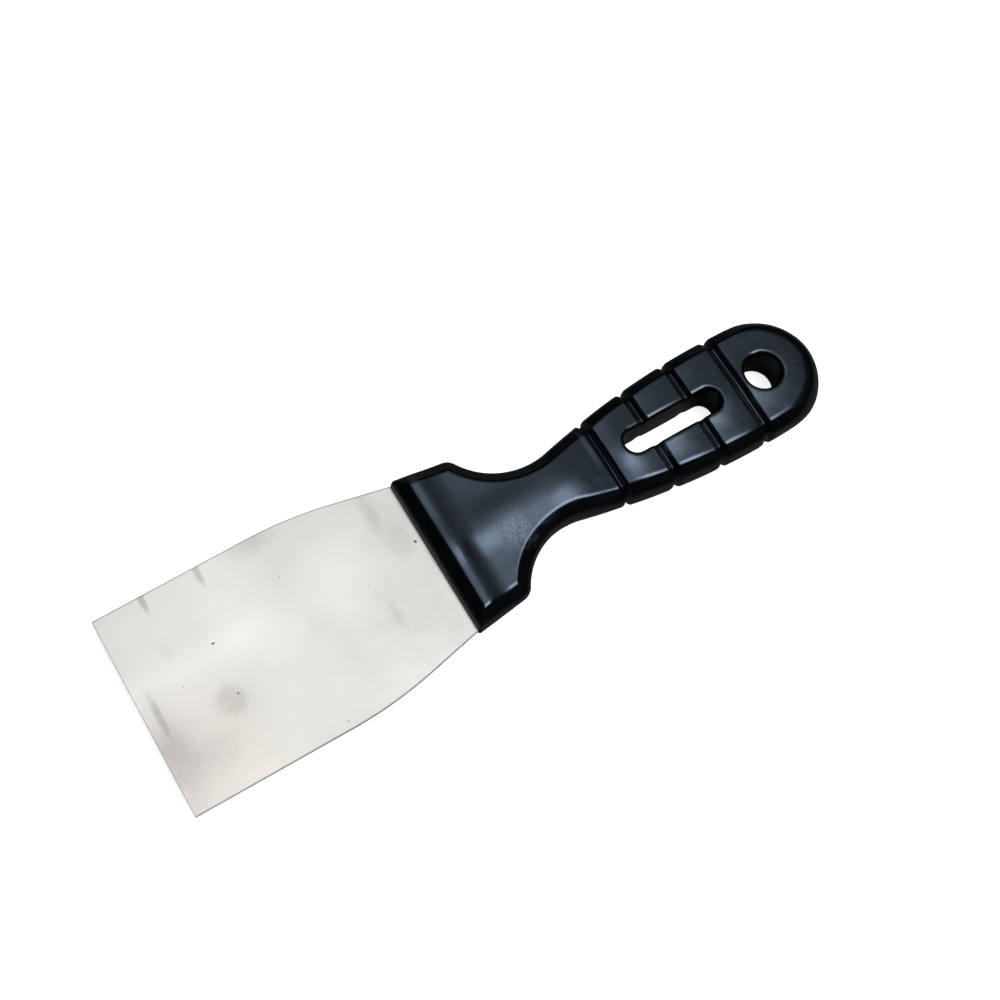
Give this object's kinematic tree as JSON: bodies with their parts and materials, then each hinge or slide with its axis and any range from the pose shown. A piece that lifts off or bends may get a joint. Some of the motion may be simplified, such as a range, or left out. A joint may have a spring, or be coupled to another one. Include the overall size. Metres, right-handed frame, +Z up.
{
  "type": "ink knife",
  "caption": "Flat flexible steel blade, square at the tip, with its tang moulded into a grooved plastic handle that has a finger slot and a hanging hole.",
  "frame": {"origin": "bottom centre of the knife's bounding box, lying flat on the handle's underside", "axes": "+X from the blade's tip edge towards the hanging hole, +Y across the blade, +Z up, square to the blade"},
  "size_m": [0.217, 0.0606, 0.014],
  "materials": {
    "blade_steel": "fine satin, polished steel",
    "handle_plastic": "glossy black moulded plastic"
  },
  "bodies": {
    "root": {"blade": "blade_steel", "handle": "handle_plastic"}
  },
  "joints": []
}
